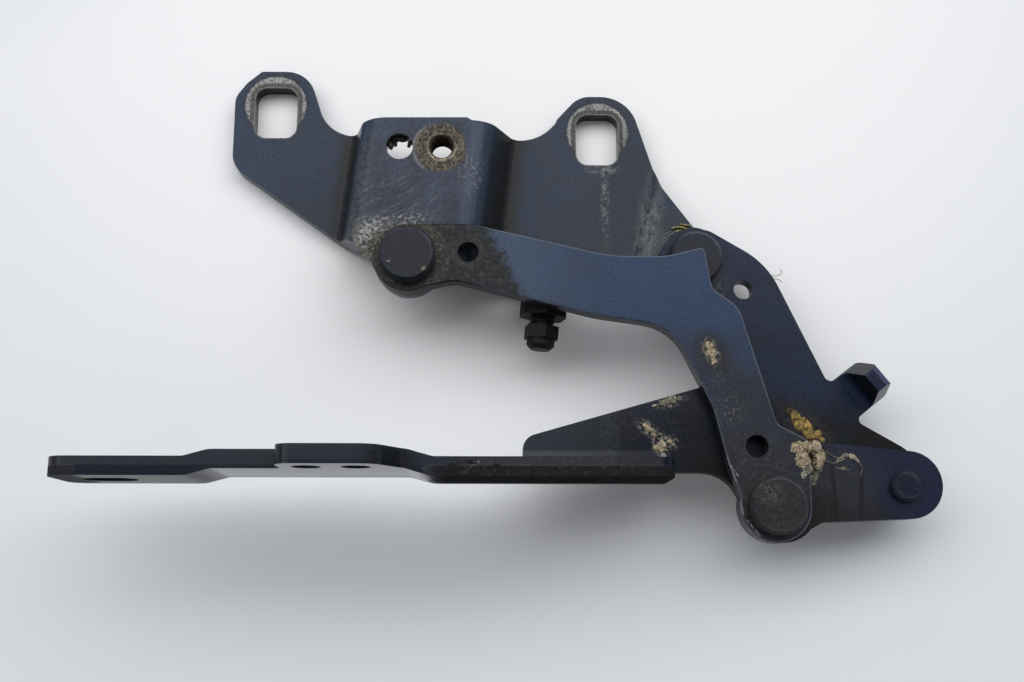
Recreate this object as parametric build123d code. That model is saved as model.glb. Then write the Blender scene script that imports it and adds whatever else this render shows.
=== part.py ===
from build123d import *
import math
import os

os.makedirs("parts", exist_ok=True)

# Sheet, gaps and fits
plate_t = 4.5
pivot_gap = 1.0
axial_play = 0.05
running_clearance = 0.05
land_rise = 3.0
edge_break = 0.4

# Levels of the four plates, from the body face outwards
rear_z = land_rise + plate_t + pivot_gap
web_z = rear_z + plate_t + pivot_gap
front_z = web_z + plate_t + pivot_gap
web_top_z = web_z + plate_t

# Pivot centres
a_x, a_y = 39.0, -47.2
b_x, b_y = 115.0, -44.7
c_x, c_y = 131.7, -111.0
d_x, d_y = 166.0, -105.6

# Eyes round the pivots
link_eye_r = 9.0
small_eye_r = 7.8
bracket_eye_a_r = 8.6
bracket_eye_b_r = 11.0
washer_r = 9.0
small_washer_r = 7.4

# Shouldered rivets and bushes
head_r = 7.25
head_h = 4.0
head_edge = 0.8
dome_edge = 1.1
shoulder_r = 5.0
neck_r = 4.0
tail_r = 5.2
tail_h = 2.4
small_tail_r = 3.9
bush_wall = 1.0
bore_r = shoulder_r + running_clearance + bush_wall

# Body bracket: edge corners from the front slot, the rear slot or A
front_ear = [
    (-11.6, -15.8, 7), (-11.6, 4.6, 5), (-8.5, 8.9, 8), (-4.4, 12.4, 1.2),
    (8.6, 12.4, 8.3), (14.8, -6.9, 10.6), (54.0, -6.6, 1), (55.2, -7.4, 1)]
rear_ear = [
    (-16.6, -0.5, 12), (-11.7, 4.75, 0.8), (-11.2, 6.0, 1), (-5.0, 12.9, 7),
    (8.8, 12.9, 10.5), (17.5, -15.0, 8)]
bracket_upper_b = [(1.0, 11.0, 0)]
bracket_lower_b_x = -9.0
bracket_lower_a_x = 7.5
lower_left_a = [(-7.4, -4.4, 0), (-12.0, 3.6, 6)]
ear_slot_w = 11.8
ear_slot_h = 14.9
ear_slot_corner_r = 3.3
rear_slot_x, rear_slot_y = 90.2, -7.4
pad_left_x = 26.85
pad_left_run = 3.75
pad_right_x = 64.4
pad_right_run = 7.0
pad_turn = 6.8
pad_bend_r = 3.2
land_x, land_y = 105.6, -31.3
land_angle = -103.0
land_run = 2.6
land_bend_r = 1.5
land_split = 8.0
bottom_edge_y = -49.4
strut_hole_x, strut_hole_y = 47.2, -15.0
strut_hole_r = 3.1
strut_hole_mouth = 0.4
plain_hole_x = 35.9
plain_hole_r = 3.6
strut_plate_t = 3.5
strut_plate_w = 12.6
strut_plate_corner_r = 1.5

# Stop screw and its tab
screw_x, screw_z = 74.9, 12.6
screw_lean = 5.2
screw_tab_w = 13.5
screw_tab_face_y = -54.0
screw_tab_top_z = 18.3
screw_tab_bend_r = 2.5
screw_r = 3.0
screw_inner_end_y = -44.0
nut_flats = 11.5
nut_h = 6.6
nut_corner_r = 6.3
screw_neck_l = 2.5
screw_hex_flats = 8.1
screw_hex_l = 3.5
screw_dome_r = 3.7
screw_dome_l = 2.75
screw_turn = 18.0

# Front link: tooling holes and edge corners, as x, y and radius from A or C
front_hole_r = 2.7
front_hole_a = (15.6, 1.4)
front_hole_c = (-4.2, 15.0)
front_hole_c_r = 2.9
front_upper_a = [(0.0, 8.9, 0), (16.0, 9.1, 30)]
front_upper_c = [
    (-40.0, 64.4, 40), (-26.0, 64.4, 14), (-15.9, 66.9, 1.0), (-14.0, 55.6, 2.6), (-7.4, 51.0, 7),
    (1.2, 20.6, 3.5), (8.9, 16.6, 2)]
front_lower_c = [(-8.6, 2.4, 0), (-11.6, 11.0, 14), (-14.9, 24.8, 8), (-24.8, 45.8, 14), (-44.0, 48.5, 40)]
front_lower_a = [(12.2, -6.2, 9), (4.0, -8.0, 0)]

# Rear link: tooling hole and edge corners from B or D, and the stop tab
rear_hole_r = 2.55
rear_hole_b = (12.9, -8.1)
rear_outer_b = [(1.5, 8.6, 0), (4.0, 8.5, 6), (19.5, -0.8, 22), (34.8, -34.5, 1.9)]
rear_outer_d = [(-10.6, 18.0, 1.6), (3.6, 9.8, 8), (7.4, 2.2, 0)]
rear_inner_d = [(0, -7.4, 0), (-5.3, -5.5, 0)]
rear_inner_b = [(21.0, -44.0, 30), (3.0, -9.4, 20), (-8.0, -4.0, 0)]
tab_root_x, tab_root_y = 155.2, -81.2
tab_root_w = 11.4
tab_end_up, tab_end_down = 2.2, 3.0
tab_end_r = 0.6
tab_angle = 38.0
tab_bend_r = 2.6
tab_top_z = 23.8
tab_nose_break = 1.9
tab_flat_l = 6.0

# Bonnet bracket: edge corners from C or D, then the flange
web_upper_c = [(-13.7, 31.8, 8), (4.8, 17.6, 12)]
arm_upper_d = [(-20.0, 11.3, 0), (1.2, 9.1, 0)]
arm_lower_c = [(13.0, -3.6, 2), (4.0, -8.4, 0)]
arm_end_r = 8.65
arm_end_shift_x, arm_end_shift_y = 1.15, 0.5
lobe_r = 8.7
lobe_shift = 2.9
lobe_left = 7.2
web_left_h = 3.2
web_corner_r = 4.0
web_lower_y = -102.0
web_lower_r = 10.0
relief_w = 2.0
relief_r = 0.8
bonnet_face_y = -105.5
flange_rise = 1.6
flange_left_x = -42.6
flange_right_x = 104.0
flange_near_z = 45.5
flange_bend_r = 4.5
flange_corner_r = 5.0
rise_left_x, rise_right_x = -7.0, 43.7
rise_run = 5.8
rise_bend_r = 4.0
web_left_x = 68.8
wide_tab_left_x, wide_tab_right_x = 12.1, 37.8
wide_tab_z = 57.0
wide_tab_root_r = 1.5
wide_tab_corner_r = 4.0
wide_tab_slope = 3.5
wide_tab_slope_r = 6.0
bonnet_slot_r = 4.25
bonnet_slot_l = 13.0
bonnet_slot_z = 34.0
bonnet_slot_left_x, bonnet_slot_right_x = -30.0, 80.0
tab_hole_r = 3.4
tab_hole_edge = 8.0
tab_hole_left_x, tab_hole_right_x = 18.6, 29.9

# Length of cutters and sheets that run past every edge
reach = d_x - flange_left_x


def corner_tangents(before, corner, after, radius):
    """Start, middle and end of the arc that rounds one corner."""
    ux, uy = before[0] - corner[0], before[1] - corner[1]
    vx, vy = after[0] - corner[0], after[1] - corner[1]
    u_len, v_len = math.hypot(ux, uy), math.hypot(vx, vy)
    ux, uy, vx, vy = ux / u_len, uy / u_len, vx / v_len, vy / v_len
    half = math.acos(max(-1.0, min(1.0, ux * vx + uy * vy))) / 2
    run = radius / math.tan(half)
    mx, my = ux + vx, uy + vy
    m_len = math.hypot(mx, my)
    to_arc = radius / math.sin(half) - radius
    start = (corner[0] + ux * run, corner[1] + uy * run)
    middle = (corner[0] + mx / m_len * to_arc, corner[1] + my / m_len * to_arc)
    end = (corner[0] + vx * run, corner[1] + vy * run)
    return start, middle, end


def outline(points):
    """Closed face through corners given as x, y and corner radius."""
    edges = []
    ends = []
    count = len(points)
    for i in range(count):
        x, y, radius = points[i]
        if radius == 0:
            ends.append(((x, y), (x, y)))
            continue
        start, middle, end = corner_tangents(points[i - 1], (x, y), points[(i + 1) % count], radius)
        edges.append(ThreePointArc(start, middle, end))
        ends.append((start, end))
    for i in range(count):
        start, end = ends[i][1], ends[(i + 1) % count][0]
        if math.dist(start, end) > 1e-6:
            edges.append(Line(start, end))
    return make_face(edges)


def from_point(corners, x, y):
    """Corners given from a centre, moved to that centre."""
    return [(x + dx, y + dy, radius) for dx, dy, radius in corners]


def sheet_section(path, thickness, inner_r):
    """Section of a bent sheet: one face follows the path, the thickness lies to its left."""
    normals = []
    for (x0, y0), (x1, y1) in zip(path[:-1], path[1:]):
        length = math.dist((x0, y0), (x1, y1))
        normals.append((-(y1 - y0) / length, (x1 - x0) / length))
    near = [(path[0][0], path[0][1], 0)]
    far = [(path[0][0] + normals[0][0] * thickness, path[0][1] + normals[0][1] * thickness, 0)]
    for i in range(1, len(path) - 1):
        (ax, ay), (bx, by) = normals[i - 1], normals[i]
        turn = ax * by - ay * bx
        scale = thickness / (1 + ax * bx + ay * by)
        near_r, far_r = (inner_r + thickness, inner_r) if turn > 0 else (inner_r, inner_r + thickness)
        near.append((path[i][0], path[i][1], near_r))
        far.append((path[i][0] + (ax + bx) * scale, path[i][1] + (ay + by) * scale, far_r))
    near.append((path[-1][0], path[-1][1], 0))
    far.append((path[-1][0] + normals[-1][0] * thickness, path[-1][1] + normals[-1][1] * thickness, 0))
    return outline(near + far[::-1])


def plate(face, z, thickness=plate_t):
    """Flat plate with its back face at z."""
    return Pos(0, 0, z) * extrude(face, thickness)


def disc(x, y, z, radius, height):
    """Round solid standing on z."""
    return Pos(x, y, z) * extrude(Circle(radius), height)


def drill(x, y, radius):
    """Cutter for a hole through every level."""
    return disc(x, y, -reach, radius, 2 * reach)


def upright(face):
    """Turn a face drawn in x and z to stand upright in space."""
    return Plane.XZ * face


def rounded_slot(x, y):
    """Cutter for one body slot."""
    shape = RectangleRounded(ear_slot_w, ear_slot_h, ear_slot_corner_r)
    return Pos(x, y, -reach) * extrude(shape, 2 * reach)


def break_rim(solid, z):
    """Break the sharp rim of a flat plate on the face at z."""
    flat_faces = solid.faces().filter_by(Axis.Z)
    face = flat_faces.filter_by(lambda f: abs(f.center().Z - z) < 0.01).sort_by(SortBy.AREA)[-1]
    return chamfer(face.outer_wire().edges(), edge_break)


# Front link: flat plate from A to C over everything else
front_outline = outline(
    from_point(front_upper_a, a_x, a_y) + from_point(front_upper_c, c_x, c_y)
    + [(c_x + link_eye_r, c_y, 0), (c_x, c_y, 0)]
    + from_point(front_lower_c, c_x, c_y) + from_point(front_lower_a, a_x, a_y))
front_face = front_outline + Pos(a_x, a_y) * Circle(link_eye_r) + Pos(c_x, c_y) * Circle(link_eye_r)
front_link = plate(front_face, front_z)
front_link = break_rim(front_link, front_z + plate_t)
front_link -= drill(a_x, a_y, bore_r)
front_link -= drill(c_x, c_y, bore_r)
front_link -= drill(a_x + front_hole_a[0], a_y + front_hole_a[1], front_hole_r)
front_link -= drill(c_x + front_hole_c[0], c_y + front_hole_c[1], front_hole_c_r)

# Rear link: flat plate from B to D with the opening stop bent up from its edge
out_x, out_y = math.cos(math.radians(tab_angle)), math.sin(math.radians(tab_angle))
along_x, along_y = out_y, -out_x
tab_half_w = tab_root_w / 2
tab_up = (tab_root_x - along_x * tab_half_w, tab_root_y - along_y * tab_half_w)
tab_down = (tab_root_x + along_x * tab_half_w, tab_root_y + along_y * tab_half_w)
rear_outline = outline(
    from_point(rear_outer_b, b_x, b_y) + [(*tab_up, 0), (*tab_down, 0)]
    + from_point(rear_outer_d, d_x, d_y) + from_point(rear_inner_d, d_x, d_y)
    + from_point(rear_inner_b, b_x, b_y) + [(b_x, b_y, 0)])
rear_face = rear_outline + Pos(b_x, b_y) * Circle(link_eye_r) + Pos(d_x, d_y) * Circle(small_eye_r)
rear_link = plate(rear_face, rear_z)
tab_section = sheet_section(
    [(-tab_flat_l, rear_z), (tab_bend_r + plate_t, rear_z), (tab_bend_r + plate_t, tab_top_z)],
    plate_t, tab_bend_r)
tab_side = outline([
    (-tab_half_w, rear_z, 0),
    (-tab_half_w, rear_z + plate_t, 0),
    (-tab_end_down, tab_top_z, tab_end_r),
    (tab_end_up, tab_top_z, tab_end_r),
    (tab_half_w, rear_z + plate_t, 0),
    (tab_half_w, rear_z, 0),
])
tab_nose = outline([
    (tab_bend_r + plate_t + 1, tab_top_z - tab_nose_break - 1, 0),
    (tab_bend_r + plate_t - tab_nose_break - 1, tab_top_z + 1, 0),
    (tab_bend_r + plate_t + 1, tab_top_z + 1, 0),
])
tab_band = Pos(0, tab_half_w, 0) * extrude(upright(tab_section - tab_nose), tab_root_w)
tab_band &= Pos(-tab_root_w, 0, 0) * extrude(Plane.YZ * tab_side, 4 * tab_root_w)
stop_tab = Pos(tab_root_x, tab_root_y, 0) * Rot(0, 0, tab_angle) * tab_band
rear_link += stop_tab
rear_link -= drill(b_x, b_y, bore_r)
rear_link -= drill(d_x, d_y, bore_r)
rear_link -= drill(b_x + rear_hole_b[0], b_y + rear_hole_b[1], rear_hole_r)

# Body bracket: ears on the body, a pad raised between them and a land at B
bracket_plan = outline(
    front_ear + from_point(rear_ear, rear_slot_x, rear_slot_y)
    + from_point(bracket_upper_b, b_x, b_y) + [
        (b_x, b_y, 0),
        (b_x + bracket_lower_b_x, bottom_edge_y, 0),
        (a_x + bracket_lower_a_x, bottom_edge_y, 0),
        (a_x, a_y, 0)]
    + from_point(lower_left_a, a_x, a_y))
bracket_plan += Pos(a_x, a_y) * Circle(bracket_eye_a_r)
bracket_plan += Pos(b_x, b_y) * Circle(bracket_eye_b_r)
bracket_block = Pos(0, 0, -reach) * extrude(bracket_plan, 2 * reach)
pad_section = sheet_section(
    [(-reach, 0), (pad_left_x, 0), (pad_left_x + pad_left_run, web_z),
     (pad_right_x - pad_right_run, web_z), (pad_right_x, 0), (reach, 0)],
    plate_t, pad_bend_r)
pad_sheet = Rot(0, 0, -pad_turn) * Pos(0, reach, 0) * extrude(upright(pad_section), 2 * reach)
land_section = sheet_section(
    [(-reach, 0), (-land_run / 2, 0), (land_run / 2, land_rise), (reach, land_rise)],
    plate_t, land_bend_r)
land_frame = Pos(land_x, land_y, 0) * Rot(0, 0, land_angle + 90)
land_sheet = land_frame * Pos(0, reach, 0) * extrude(upright(land_section), 2 * reach)
left_side = land_frame * Pos(-land_split - reach, 0, 0) * Box(2 * reach, 4 * reach, 4 * reach)
right_side = land_frame * Pos(-land_split + reach, 0, 0) * Box(2 * reach, 4 * reach, 4 * reach)
body_bracket = (bracket_block & left_side & pad_sheet) + (bracket_block & right_side & land_sheet)
screw_tab_section = sheet_section(
    [(screw_tab_face_y, screw_tab_top_z), (screw_tab_face_y, 0), (bottom_edge_y + plate_t, 0)],
    plate_t, screw_tab_bend_r)
screw_tab = Pos(-screw_tab_w / 2, -screw_tab_face_y, 0) * extrude(Plane.YZ * screw_tab_section, screw_tab_w)
screw_tab -= Pos(0, 2 * plate_t, screw_z) * Rot(90, 0, 0) * disc(0, 0, 0, screw_r, 3 * plate_t)
body_bracket += Pos(screw_x, screw_tab_face_y, 0) * Rot(0, 0, -screw_lean) * screw_tab
body_bracket -= rounded_slot(0, 0)
body_bracket -= rounded_slot(rear_slot_x, rear_slot_y)
body_bracket -= drill(strut_hole_x, strut_hole_y, strut_hole_r)
mouth_r = strut_hole_r + strut_hole_mouth
mouth = Pos(0, 0, web_top_z - strut_hole_mouth / 2) * Cone(strut_hole_r, mouth_r, strut_hole_mouth)
body_bracket -= Pos(strut_hole_x, strut_hole_y, 0) * mouth
body_bracket -= drill(plain_hole_x, strut_hole_y, plain_hole_r)
body_bracket -= drill(a_x, a_y, neck_r)
body_bracket -= drill(b_x, b_y, neck_r)

export_step(front_link, "parts/front_link.step")
export_step(rear_link, "parts/rear_link.step")
export_step(body_bracket, "parts/body_bracket.step")

# Tapped plate behind the pad for the strut's ball stud
strut_plate = extrude(RectangleRounded(strut_plate_w, strut_plate_w, strut_plate_corner_r), strut_plate_t)
strut_plate -= drill(0, 0, strut_hole_r)
strut_plate = Pos(strut_hole_x, strut_hole_y, web_z - strut_plate_t) * Rot(0, 0, -pad_turn) * strut_plate
export_step(strut_plate, "parts/strut_tapping_plate.step")

# Bonnet bracket: web and arm with a stepped flange bent towards the front
web_bend_y = bonnet_face_y + plate_t + flange_bend_r
flange_back_z = web_top_z + flange_bend_r
arm_end_x, arm_end_y = d_x + arm_end_shift_x, d_y + arm_end_shift_y
web_outline = outline([
    (web_left_x, web_bend_y, 0),
    (web_left_x, web_bend_y + web_left_h, web_corner_r)]
    + from_point(web_upper_c, c_x, c_y) + from_point(arm_upper_d, d_x, d_y) + [
        (d_x, d_y, 0),
        (arm_end_x, arm_end_y - arm_end_r, 0)]
    + from_point(arm_lower_c, c_x, c_y) + [
        (c_x + lobe_shift, c_y, 0),
        (c_x - lobe_left, c_y, 0),
        (c_x - lobe_left, web_lower_y, web_lower_r),
        (flange_right_x + relief_w, web_lower_y, relief_r),
        (flange_right_x + relief_w, web_bend_y, relief_r),
        (flange_right_x, web_bend_y, 0)])
web_face = web_outline + Pos(arm_end_x, arm_end_y) * Circle(arm_end_r)
web_face += Pos(c_x + lobe_shift, c_y) * Circle(lobe_r)
web_face += Pos(c_x, c_y) * Circle(lobe_left)
web = plate(web_face, web_z)
bend_section = sheet_section(
    [(bonnet_face_y, flange_back_z), (bonnet_face_y, web_z), (web_bend_y, web_z)],
    plate_t, flange_bend_r)
web_bend = Pos(web_left_x, 0, 0) * extrude(Plane.YZ * bend_section, flange_right_x - web_left_x)
flange_section = sheet_section(
    [(flange_left_x, bonnet_face_y),
     (rise_left_x - rise_run / 2, bonnet_face_y),
     (rise_left_x + rise_run / 2, bonnet_face_y + flange_rise),
     (rise_right_x - rise_run / 2, bonnet_face_y + flange_rise),
     (rise_right_x + rise_run / 2, bonnet_face_y),
     (flange_right_x, bonnet_face_y)],
    plate_t, rise_bend_r)
flange_front = outline([
    (flange_left_x, flange_back_z, flange_corner_r),
    (flange_left_x, flange_near_z, flange_corner_r),
    (wide_tab_left_x, flange_near_z, wide_tab_root_r),
    (wide_tab_left_x, wide_tab_z, wide_tab_corner_r),
    (wide_tab_right_x - wide_tab_slope, wide_tab_z, wide_tab_slope_r),
    (wide_tab_right_x + wide_tab_slope, flange_near_z, wide_tab_slope_r),
    (flange_right_x, flange_near_z, flange_corner_r),
    (flange_right_x, flange_back_z, 0),
])
flange = extrude(flange_section, 2 * reach) & Pos(0, bonnet_face_y + reach, 0) * extrude(
    upright(flange_front), 2 * reach)
bonnet_bracket = web + web_bend + flange


def flange_cutter(shape, x, z):
    """Cutter through the flange at x and z."""
    return Pos(x, bonnet_face_y + 3 * plate_t, z) * extrude(upright(shape), 6 * plate_t)


for slot_x in (bonnet_slot_left_x, bonnet_slot_right_x):
    slot = SlotOverall(bonnet_slot_l, 2 * bonnet_slot_r)
    bonnet_bracket -= flange_cutter(slot, slot_x, bonnet_slot_z)
tab_hole_z = wide_tab_z - tab_hole_edge
for hole_x in (tab_hole_left_x, tab_hole_right_x):
    bonnet_bracket -= flange_cutter(Circle(tab_hole_r), hole_x, tab_hole_z)
bonnet_bracket -= drill(c_x, c_y, neck_r)
bonnet_bracket -= drill(d_x, d_y, neck_r)
export_step(bonnet_bracket, "parts/bonnet_bracket.step")


def rivet_head(x, y, z):
    """Flat head with a broken upper rim."""
    head = disc(x, y, z, head_r, head_h)
    return chamfer(head.edges().sort_by(Axis.Z)[-1], head_edge)


def shouldered_rivet(x, y, link_z, name):
    """Rivet whose shoulder carries the link at link_z and whose neck is clenched in the plate below."""
    shoulder_z = link_z - pivot_gap
    rivet = rivet_head(x, y, link_z + plate_t + axial_play)
    rivet += disc(x, y, shoulder_z, shoulder_r, plate_t + pivot_gap + axial_play)
    rivet += disc(x, y, shoulder_z - plate_t, neck_r, plate_t)
    rivet += disc(x, y, shoulder_z - plate_t - tail_h, tail_r, tail_h)
    export_step(rivet, f"parts/{name}.step")


def ring(x, y, z, inner_r, outer_r, height, name):
    """Washer or bush as a plain ring."""
    export_step(disc(x, y, z, outer_r, height) - drill(x, y, inner_r), f"parts/{name}.step")


# Rivets at A, B and C
shouldered_rivet(a_x, a_y, front_z, "rivet_a")
shouldered_rivet(b_x, b_y, rear_z, "rivet_b")
shouldered_rivet(c_x, c_y, front_z, "rivet_c")

# Rivet at D, parted at the face between the rear link and the arm
d_back = Pos(0, 0, 2 * rear_z - axial_play) * mirror(rivet_head(d_x, d_y, rear_z), Plane.XY)
d_back += disc(d_x, d_y, rear_z - axial_play, shoulder_r, plate_t + pivot_gap)
export_step(d_back, "parts/rivet_d_head.step")
d_front = disc(d_x, d_y, web_z, neck_r, plate_t)
d_tail = disc(d_x, d_y, web_top_z, small_tail_r, tail_h)
d_front += chamfer(d_tail.edges().sort_by(Axis.Z)[-1], head_edge)
export_step(d_front, "parts/rivet_d_tail.step")

# Bushes in the links and spacer washers between the plates
bush_r = shoulder_r + running_clearance
for x, y, link_z, letter in (
        (a_x, a_y, front_z, "a"), (b_x, b_y, rear_z, "b"),
        (c_x, c_y, front_z, "c"), (d_x, d_y, rear_z, "d")):
    ring(x, y, link_z, bush_r, bore_r, plate_t, f"bush_{letter}")
for x, y, washer_z, outer_r, letter in (
        (a_x, a_y, web_top_z, washer_r, "a"), (b_x, b_y, rear_z - pivot_gap, washer_r, "b"),
        (c_x, c_y, web_top_z, washer_r, "c"), (d_x, d_y, rear_z + plate_t, small_washer_r, "d")):
    ring(x, y, washer_z, bush_r, outer_r, pivot_gap - axial_play, f"washer_{letter}")


def hex_prism(flats, length):
    """Hexagon standing on z, flats across the given size."""
    return extrude(RegularPolygon(flats / 2, 6, major_radius=False), length)


# Closed stop: screw through the tab with its lock nut
screw_place = Pos(screw_x, screw_tab_face_y, screw_z) * Rot(0, 0, -screw_lean)
screw_frame = screw_place * Rot(90, 0, 0) * Rot(0, 0, screw_turn)
nut = hex_prism(nut_flats, nut_h)
nut &= Pos(0, 0, nut_h / 2) * Cylinder(nut_corner_r, nut_h)
nut -= disc(0, 0, -reach, screw_r, 2 * reach)
export_step(screw_frame * nut, "parts/stop_lock_nut.step")
hex_z = nut_h + screw_neck_l
screw_behind = screw_inner_end_y - screw_tab_face_y
screw = disc(0, 0, -screw_behind, screw_r, hex_z + screw_behind)
screw += Pos(0, 0, hex_z) * hex_prism(screw_hex_flats, screw_hex_l)
dome = disc(0, 0, hex_z + screw_hex_l, screw_dome_r, screw_dome_l)
screw += chamfer(dome.edges().sort_by(Axis.Z)[-1], dome_edge)
export_step(screw_frame * screw, "parts/stop_screw.step")
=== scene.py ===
import math
import random

import bpy
from mathutils import Matrix, Vector


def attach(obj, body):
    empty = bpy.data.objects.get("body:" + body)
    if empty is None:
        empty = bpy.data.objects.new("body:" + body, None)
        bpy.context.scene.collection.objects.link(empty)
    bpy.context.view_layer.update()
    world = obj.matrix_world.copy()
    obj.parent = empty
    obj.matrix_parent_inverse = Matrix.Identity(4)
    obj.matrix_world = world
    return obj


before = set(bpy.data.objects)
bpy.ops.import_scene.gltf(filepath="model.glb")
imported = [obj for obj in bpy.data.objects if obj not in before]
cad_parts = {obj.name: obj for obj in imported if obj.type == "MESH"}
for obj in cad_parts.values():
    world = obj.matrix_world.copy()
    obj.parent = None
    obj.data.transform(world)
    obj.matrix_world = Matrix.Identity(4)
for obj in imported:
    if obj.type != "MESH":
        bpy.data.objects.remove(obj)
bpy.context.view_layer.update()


# Body bracket: stamped steel sheet under a dark electro-dipped paint, bolted through two slots.
# The bolt heads wore silver rings round the slots; road dust lies on the pad and in the bends, with
# painted shade in the bends.
MM = 0.001
SLOTS, SLOT_WIDTH, SLOT_HEIGHT, SLOT_CORNER = ((0.0, 0.0), (90.2, -7.4)), 11.8, 14.9, 3.3
STRUT_HOLE, PLAIN_HOLE = (47.2, -15.0), (35.9, -15.0)
PIVOT_A, PIVOT_B = (39.0, -47.2), (115.0, -44.7)


class Value:
    """A shader value, one number or three, that Python operators build on."""

    def __init__(self, tree, out, triple=False):
        self.tree, self.out, self.triple = tree, out, triple

    def op(self, kind, *others):
        args = (self, *others)
        triple = any(isinstance(a, tuple) or getattr(a, "triple", False) for a in args)
        node = self.tree.nodes.new("ShaderNodeVectorMath" if triple else "ShaderNodeMath")
        node.operation = kind
        for socket, value in zip(node.inputs, args):
            put(self.tree, socket, value)
        return Value(self.tree, node.outputs[0], triple)

    def __add__(self, other): return self.op("ADD", other)
    def __radd__(self, other): return self.op("ADD", other)
    def __sub__(self, other): return self.op("SUBTRACT", other)
    def __rsub__(self, other): return (self * -1.0).op("ADD", other)
    def __mul__(self, other): return self.op("MULTIPLY", other)
    def __rmul__(self, other): return self.op("MULTIPLY", other)
    def __truediv__(self, other): return self.op("DIVIDE", other)
    def __pow__(self, other): return self.op("POWER", other)
    def least(self, other): return self.op("MINIMUM", other)
    def most(self, other): return self.op("MAXIMUM", other)
    def size(self): return self.op("ABSOLUTE")
    def root(self): return self.op("SQRT")
    def sine(self): return self.op("SINE")


def put(tree, socket, value):
    """Link a value into a socket, or set it there."""
    if isinstance(value, Value):
        tree.links.new(value.out, socket)
    elif hasattr(socket.default_value, "__len__") and not hasattr(value, "__len__"):
        socket.default_value = (value,) * len(socket.default_value)
    elif hasattr(value, "__len__") and len(socket.default_value) == 4:
        socket.default_value = (*value, 1.0)
    else:
        socket.default_value = value


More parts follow.
